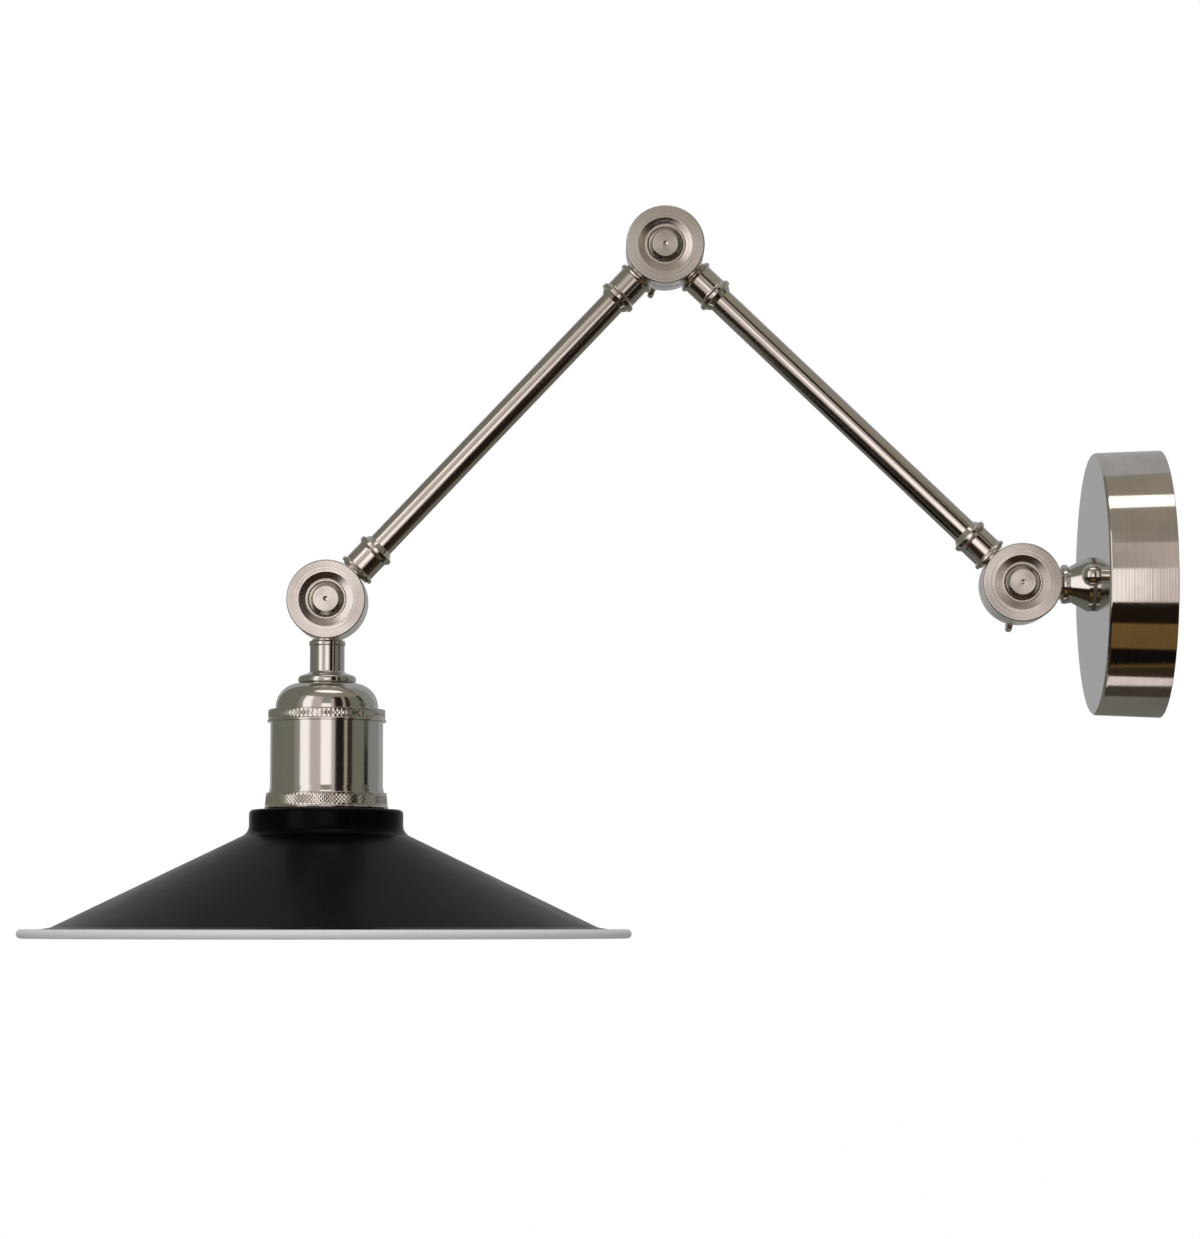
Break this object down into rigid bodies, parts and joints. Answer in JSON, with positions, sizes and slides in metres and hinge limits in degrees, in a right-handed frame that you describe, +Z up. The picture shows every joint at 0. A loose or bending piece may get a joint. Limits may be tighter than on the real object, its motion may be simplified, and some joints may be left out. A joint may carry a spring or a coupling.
{
  "type": "articulating wall lamp",
  "caption": "Wall lamp with a round canopy, a swivel, two tube arms on clamped knuckles with wing nuts, and a shallow conical shade on a knurled screw-shell lampholder.",
  "frame": {"origin": "on the wall plane, at the centre of the canopy's back", "axes": "+Y into the wall, +Z up, X along the wall; the arms move in the plane X = 0 at rest"},
  "size_m": [0.2546, 0.4757, 0.3083],
  "materials": {
    "nickel": "satin nickel plate",
    "polished_nickel": "polished nickel plate",
    "shade_enamel": "satin black outside, white inside and on the rim",
    "steel": "zinc-plated",
    "brass": "plain brass",
    "porcelain": "glazed white",
    "fibre": "dark fibre",
    "nylon": "natural nylon",
    "lead_insulation": "black and white insulation",
    "connector_plastic": "orange moulded",
    "green_screw": "green"
  },
  "bodies": {
    "base": {"canopy": "polished_nickel", "wall_bracket": "steel", "canopy_studs": "steel", "stud_lock_nuts": "steel", "ball_nuts": "polished_nickel", "earth_screw": "green_screw", "supply_leads": "lead_insulation", "wire_connectors": "connector_plastic", "seat_washer": "fibre", "backing_washer": "steel"},
    "swivel": {"swivel_cone": "polished_nickel", "swivel_nipple": "steel", "swivel_glide_washer": "nylon", "swivel_stop_washer": "steel", "swivel_spring_washer": "steel", "swivel_nuts": "steel", "wall_knuckle_front": "nickel", "wall_pivot_bolt": "nickel", "wall_friction_ring": "fibre"},
    "inner_arm": {"wall_knuckle_rear": "nickel", "inner_arm_flat_washers": "steel", "inner_arm_spring_washers": "steel", "inner_arm_near_ferrule": "polished_nickel", "inner_arm_tube": "polished_nickel", "inner_arm_far_ferrule": "polished_nickel", "inner_arm_leads": "lead_insulation", "elbow_knuckle_rear": "nickel"},
    "outer_arm": {"elbow_knuckle_front": "nickel", "elbow_pivot_bolt": "nickel", "elbow_friction_ring": "fibre", "outer_arm_near_ferrule": "polished_nickel", "outer_arm_tube": "polished_nickel", "outer_arm_far_ferrule": "polished_nickel", "outer_arm_leads": "lead_insulation", "shade_knuckle_front": "nickel", "shade_pivot_bolt": "nickel", "shade_friction_ring": "fibre"},
    "holder": {"shade_knuckle_rear": "nickel", "holder_flat_washer": "steel", "holder_spring_washer": "steel", "holder_neck": "polished_nickel", "holder_nipple": "steel", "holder_nut": "steel", "socket_cap": "polished_nickel", "upper_knurled_ring": "polished_nickel", "socket_shell": "polished_nickel", "lower_knurled_ring": "polished_nickel", "shade_washer": "fibre", "shade": "shade_enamel", "shade_clamp_ring": "brass", "socket_core": "porcelain", "screw_shell": "brass", "centre_contact": "brass", "contact_rivets": "brass", "terminal_posts": "brass", "terminal_screws": "brass", "socket_leads": "lead_insulation"},
    "wall_wing_nut": {"wall_wing_nut": "polished_nickel"},
    "elbow_wing_nut": {"elbow_wing_nut": "polished_nickel"},
    "shade_wing_nut": {"shade_wing_nut": "polished_nickel"}
  },
  "joints": [
    {"name": "base_swivel", "type": "hinge", "parent": "base", "child": "swivel", "pos_m": [0, -0.028, 0], "axis": [0, 1, 0], "range_deg": [-165, 165]},
    {"name": "wall_knuckle", "type": "hinge", "parent": "swivel", "child": "inner_arm", "pos_m": [0, -0.05815, 0], "axis": [1, 0, 0], "range_deg": [-56, 143]},
    {"name": "elbow", "type": "hinge", "parent": "inner_arm", "child": "outer_arm", "pos_m": [0, -0.20676, 0.14251], "axis": [-1, 0, 0], "range_deg": [-37, 216]},
    {"name": "shade_knuckle", "type": "hinge", "parent": "outer_arm", "child": "holder", "pos_m": [0, -0.34836, -0.00697], "axis": [1, 0, 0], "range_deg": [-171, 84]},
    {"name": "wall_wing_nut_turn", "type": "hinge", "parent": "swivel", "child": "wall_wing_nut", "pos_m": [0, -0.05815, 0], "axis": [1, 0, 0], "range_deg": [-180, 0]},
    {"name": "elbow_wing_nut_turn", "type": "hinge", "parent": "outer_arm", "child": "elbow_wing_nut", "pos_m": [0, -0.20676, 0.14251], "axis": [1, 0, 0], "range_deg": [-180, 0]},
    {"name": "shade_wing_nut_turn", "type": "hinge", "parent": "outer_arm", "child": "shade_wing_nut", "pos_m": [0, -0.34836, -0.00697], "axis": [1, 0, 0], "range_deg": [-180, 0]}
  ]
}
